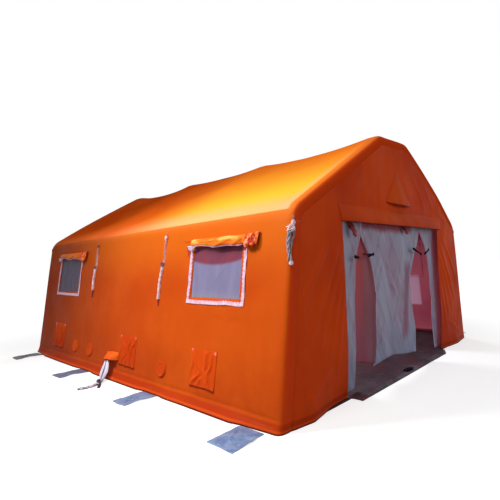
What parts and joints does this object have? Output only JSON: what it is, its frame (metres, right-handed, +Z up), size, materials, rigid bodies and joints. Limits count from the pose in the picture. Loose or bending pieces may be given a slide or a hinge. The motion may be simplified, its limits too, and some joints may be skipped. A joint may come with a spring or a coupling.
{
  "type": "inflatable decontamination tent",
  "caption": "Inflatable house-shaped tent with air beams under a coated fabric skin, side windows with covers, service flaps and a curtained front door.",
  "frame": {"origin": "centre of the tent's footprint on the ground", "axes": "+Z up, X across the tent, Y along its ridge; the curtained front door faces -Y and the wall with the service flaps is at -X"},
  "size_m": [6.2616, 6.206, 3.08],
  "materials": {
    "skin_orange": "satin",
    "flap_orange": "satin",
    "beam_orange": "satin",
    "clear_film": "gloss",
    "white_tape": "matte",
    "white_curtain": "matte",
    "white_cord": "matte",
    "white_sleeve": "matte",
    "grey_strap": "matte",
    "silver_tab": "satin",
    "floor_grey": "matte"
  },
  "bodies": {
    "tent": {"air_arch_1": "beam_orange", "air_arch_2": "beam_orange", "air_arch_3": "beam_orange", "air_arch_4": "beam_orange", "cable_sleeve": "white_sleeve", "door_beam_front": "beam_orange", "door_beam_rear": "beam_orange", "eave_beam_left_1": "beam_orange", "eave_beam_left_2": "beam_orange", "eave_beam_left_3": "beam_orange", "eave_beam_right_1": "beam_orange", "eave_beam_right_2": "beam_orange", "eave_beam_right_3": "beam_orange", "gable_front": "skin_orange", "gable_rear": "skin_orange", "ground_sheet": "floor_grey", "guy_line_1": "white_cord", "guy_line_2": "white_cord", "guy_line_3": "white_cord", "roof_left": "skin_orange", "roof_right": "skin_orange", "roof_top": "skin_orange", "side_wall_left": "skin_orange", "side_wall_right": "skin_orange", "sleeve_tie": "grey_strap", "vent_hood_front": "flap_orange", "vent_hood_rear": "flap_orange", "window_film_left_front": "clear_film", "window_film_left_rear": "clear_film", "window_film_right_front": "clear_film", "window_film_right_rear": "clear_film", "window_tape_left_front": "white_tape", "window_tape_left_rear": "white_tape", "window_tape_right_front": "white_tape", "window_tape_right_rear": "white_tape"},
    "cable_port_hood_body": {"cable_port_hood": "flap_orange"},
    "duct_port_flap_1_body": {"duct_port_flap_1": "flap_orange"},
    "duct_port_flap_2_body": {"duct_port_flap_2": "flap_orange"},
    "duct_port_flap_3_body": {"duct_port_flap_3": "flap_orange"},
    "front_curtain_left_body": {"front_curtain_left": "white_curtain"},
    "front_curtain_middle_body": {"front_curtain_middle": "white_curtain"},
    "front_curtain_right_body": {"front_curtain_right": "white_curtain"},
    "front_door_header_flap_body": {"front_door_header_flap": "flap_orange"},
    "ground_tab_left_1_body": {"ground_tab_left_1": "silver_tab"},
    "ground_tab_left_2_body": {"ground_tab_left_2": "silver_tab"},
    "ground_tab_left_3_body": {"ground_tab_left_3": "silver_tab"},
    "ground_tab_left_4_body": {"ground_tab_left_4": "silver_tab"},
    "ground_tab_right_1_body": {"ground_tab_right_1": "silver_tab"},
    "ground_tab_right_2_body": {"ground_tab_right_2": "silver_tab"},
    "ground_tab_right_3_body": {"ground_tab_right_3": "silver_tab"},
    "ground_tab_right_4_body": {"ground_tab_right_4": "silver_tab"},
    "rear_door_body": {"rear_door": "flap_orange"},
    "valve_cover_1_body": {"valve_cover_1": "flap_orange"},
    "valve_cover_2_body": {"valve_cover_2": "flap_orange"},
    "valve_cover_3_body": {"valve_cover_3": "flap_orange"},
    "window_cover_left_front_body": {"window_cover_left_front": "flap_orange"},
    "window_cover_left_rear_body": {"window_cover_left_rear": "flap_orange"},
    "window_cover_right_front_body": {"window_cover_right_front": "flap_orange"},
    "window_cover_right_rear_body": {"window_cover_right_rear": "flap_orange"}
  },
  "joints": [
    {"name": "cable_port_hood_swing", "type": "hinge", "parent": "tent", "child": "cable_port_hood_body", "pos_m": [-2.54967, 0.11, 0.34132], "axis": [0, 1, 0], "range_deg": [0, 70]},
    {"name": "duct_port_flap_1_swing", "type": "hinge", "parent": "tent", "child": "duct_port_flap_1_body", "pos_m": [-2.51084, -1.86, 0.58829], "axis": [0, 1, 0], "range_deg": [0, 150]},
    {"name": "duct_port_flap_2_swing", "type": "hinge", "parent": "tent", "child": "duct_port_flap_2_body", "pos_m": [-2.51084, -0.28, 0.58829], "axis": [0, 1, 0], "range_deg": [0, 150]},
    {"name": "duct_port_flap_3_swing", "type": "hinge", "parent": "tent", "child": "duct_port_flap_3_body", "pos_m": [-2.51084, 2.04, 0.58829], "axis": [0, 1, 0], "range_deg": [0, 150]},
    {"name": "front_curtain_left_swing", "type": "hinge", "parent": "tent", "child": "front_curtain_left_body", "pos_m": [0, -2.8967, 1.9291], "axis": [1, 0, 0], "range_deg": [0, 60]},
    {"name": "front_curtain_middle_swing", "type": "hinge", "parent": "tent", "child": "front_curtain_middle_body", "pos_m": [0, -2.8967, 1.9291], "axis": [1, 0, 0], "range_deg": [-35, 60]},
    {"name": "front_curtain_right_swing", "type": "hinge", "parent": "tent", "child": "front_curtain_right_body", "pos_m": [0, -2.8967, 1.9291], "axis": [1, 0, 0], "range_deg": [0, 60]},
    {"name": "front_door_header_flap_swing", "type": "hinge", "parent": "tent", "child": "front_door_header_flap_body", "pos_m": [0, -2.9783, 2.1], "axis": [-1, 0, 0], "range_deg": [0, 90]},
    {"name": "ground_tab_left_1_swing", "type": "hinge", "parent": "tent", "child": "ground_tab_left_1_body", "pos_m": [-2.65872, -2.68, 0.004], "axis": [0, 1, 0], "range_deg": [0, 90]},
    {"name": "ground_tab_left_2_swing", "type": "hinge", "parent": "tent", "child": "ground_tab_left_2_body", "pos_m": [-2.67116, -1.02, 0.004], "axis": [0, 1, 0], "range_deg": [0, 90]},
    {"name": "ground_tab_left_3_swing", "type": "hinge", "parent": "tent", "child": "ground_tab_left_3_body", "pos_m": [-2.67116, 0.755, 0.004], "axis": [0, 1, 0], "range_deg": [0, 90]},
    {"name": "ground_tab_left_4_swing", "type": "hinge", "parent": "tent", "child": "ground_tab_left_4_body", "pos_m": [-2.66097, 2.655, 0.004], "axis": [0, 1, 0], "range_deg": [0, 90]},
    {"name": "ground_tab_right_1_swing", "type": "hinge", "parent": "tent", "child": "ground_tab_right_1_body", "pos_m": [2.65872, -2.68, 0.004], "axis": [0, -1, 0], "range_deg": [0, 90]},
    {"name": "ground_tab_right_2_swing", "type": "hinge", "parent": "tent", "child": "ground_tab_right_2_body", "pos_m": [2.67116, -1.02, 0.004], "axis": [0, -1, 0], "range_deg": [0, 90]},
    {"name": "ground_tab_right_3_swing", "type": "hinge", "parent": "tent", "child": "ground_tab_right_3_body", "pos_m": [2.67116, 0.755, 0.004], "axis": [0, -1, 0], "range_deg": [0, 90]},
    {"name": "ground_tab_right_4_swing", "type": "hinge", "parent": "tent", "child": "ground_tab_right_4_body", "pos_m": [2.66097, 2.655, 0.004], "axis": [0, -1, 0], "range_deg": [0, 90]},
    {"name": "rear_door_swing", "type": "hinge", "parent": "tent", "child": "rear_door_body", "pos_m": [0, 2.9783, 1.97], "axis": [1, 0, 0], "range_deg": [0, 80]},
    {"name": "valve_cover_1_swing", "type": "hinge", "parent": "tent", "child": "valve_cover_1_body", "pos_m": [-2.54423, -1.09, 0.3759], "axis": [0, 1, 0], "range_deg": [0, 150]},
    {"name": "valve_cover_2_swing", "type": "hinge", "parent": "tent", "child": "valve_cover_2_body", "pos_m": [-2.54423, 0.84, 0.3759], "axis": [0, 1, 0], "range_deg": [0, 150]},
    {"name": "valve_cover_3_swing", "type": "hinge", "parent": "tent", "child": "valve_cover_3_body", "pos_m": [-2.54423, 1.36, 0.3759], "axis": [0, 1, 0], "range_deg": [0, 150]},
    {"name": "window_cover_left_front_swing", "type": "hinge", "parent": "tent", "child": "window_cover_left_front_body", "pos_m": [-2.31683, -1.94, 1.80278], "axis": [0, 1, 0], "range_deg": [0, 80]},
    {"name": "window_cover_left_rear_swing", "type": "hinge", "parent": "tent", "child": "window_cover_left_rear_body", "pos_m": [-2.31683, 1.94, 1.80278], "axis": [0, 1, 0], "range_deg": [0, 80]},
    {"name": "window_cover_right_front_swing", "type": "hinge", "parent": "tent", "child": "window_cover_right_front_body", "pos_m": [2.31683, -1.94, 1.80278], "axis": [0, -1, 0], "range_deg": [0, 80]},
    {"name": "window_cover_right_rear_swing", "type": "hinge", "parent": "tent", "child": "window_cover_right_rear_body", "pos_m": [2.31683, 1.94, 1.80278], "axis": [0, -1, 0], "range_deg": [0, 80]}
  ]
}
